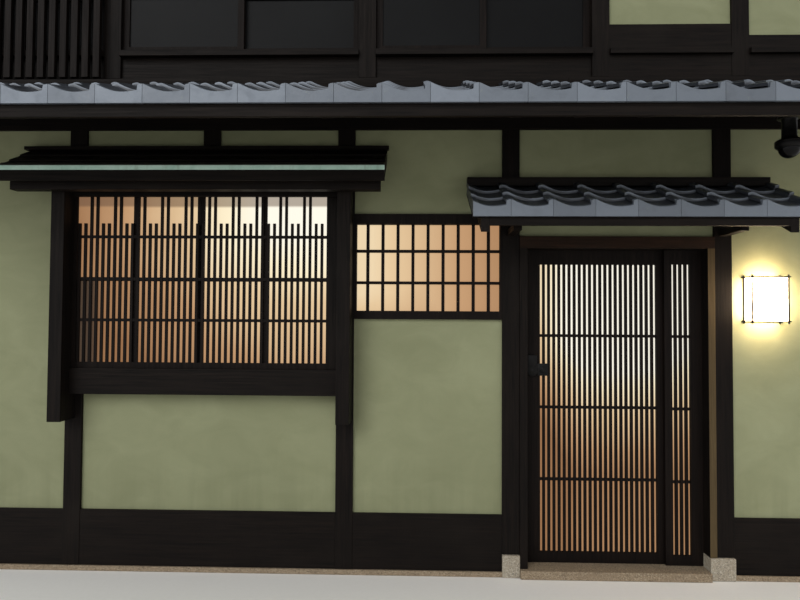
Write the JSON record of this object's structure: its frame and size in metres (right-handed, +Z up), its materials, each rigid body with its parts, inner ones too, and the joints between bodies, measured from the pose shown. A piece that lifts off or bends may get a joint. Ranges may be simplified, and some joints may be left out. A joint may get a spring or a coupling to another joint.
{
  "type": "machiya townhouse",
  "caption": "Two-storey timber townhouse with lattice bay window, sliding lattice door, tiled porch, lower eaves and gabled main roof.",
  "frame": {"origin": "on the ground at the middle of the house, under its overall box", "axes": "+X along the street front to the right as seen from the street, +Y from the street to the back, +Z up; the street front looks along -Y"},
  "size_m": [6.195, 9.803, 7.3304],
  "materials": {
    "stone": "matt cut granite",
    "earth_floor": "matt rammed earth",
    "dark_timber": "dark stained, satin",
    "roof_timber": "dark weathered",
    "floor_timber": "satin",
    "lattice_timber": "dark stained, satin",
    "plaster": "fine matt earth plaster",
    "roof_tile": "smoked silver grey",
    "aged_copper": "green patina, matt",
    "frosted_pane": "frosted, lit from inside",
    "dark_metal": "satin black",
    "lamp_shade": "opal"
  },
  "bodies": {
    "house": {"front_and_rear_kerbs": "stone", "side_kerbs": "stone", "base_stones": "stone", "door_step": "stone", "ground_floor": "earth_floor", "wall_posts": "dark_timber", "head_beams": "dark_timber", "waist_beams": "dark_timber", "skirting_boards": "dark_timber", "upper_wall_timbers": "dark_timber", "bay_posts": "dark_timber", "bay_beams": "dark_timber", "door_frame": "dark_timber", "porch_arms": "dark_timber", "eave_decks": "roof_timber", "eave_rafters": "roof_timber", "eave_purlins": "roof_timber", "eave_fascias": "roof_timber", "main_rafters": "roof_timber", "front_main_deck": "roof_timber", "rear_main_deck": "roof_timber", "roof_purlins": "roof_timber", "front_barge_boards": "roof_timber", "rear_barge_boards": "roof_timber", "hood_boards": "roof_timber", "floor_joists": "floor_timber", "upper_floor": "floor_timber", "bay_lattice": "lattice_timber", "upper_lattice": "lattice_timber", "window_grids": "lattice_timber", "side_panel": "lattice_timber", "window_sashes": "lattice_timber", "plaster_panels": "plaster", "party_walls": "plaster", "porch_tiles": "roof_tile", "lower_tiles": "roof_tile", "front_main_tiles": "roof_tile", "rear_main_tiles": "roof_tile", "main_ridge": "roof_tile", "ridge_end_tiles": "roof_tile", "hood_edging": "aged_copper", "window_panes": "frosted_pane", "lantern_frame": "dark_metal", "door_tracks": "dark_metal", "eave_dome": "dark_metal", "lantern_shade": "lamp_shade"},
    "door": {"door_leaf": "lattice_timber", "door_pane": "frosted_pane", "door_lock": "dark_metal"}
  },
  "joints": [
    {"name": "door_slide", "type": "slide", "parent": "house", "child": "door", "axis": [1, 0, 0], "range_m": [0, 0.69]}
  ]
}
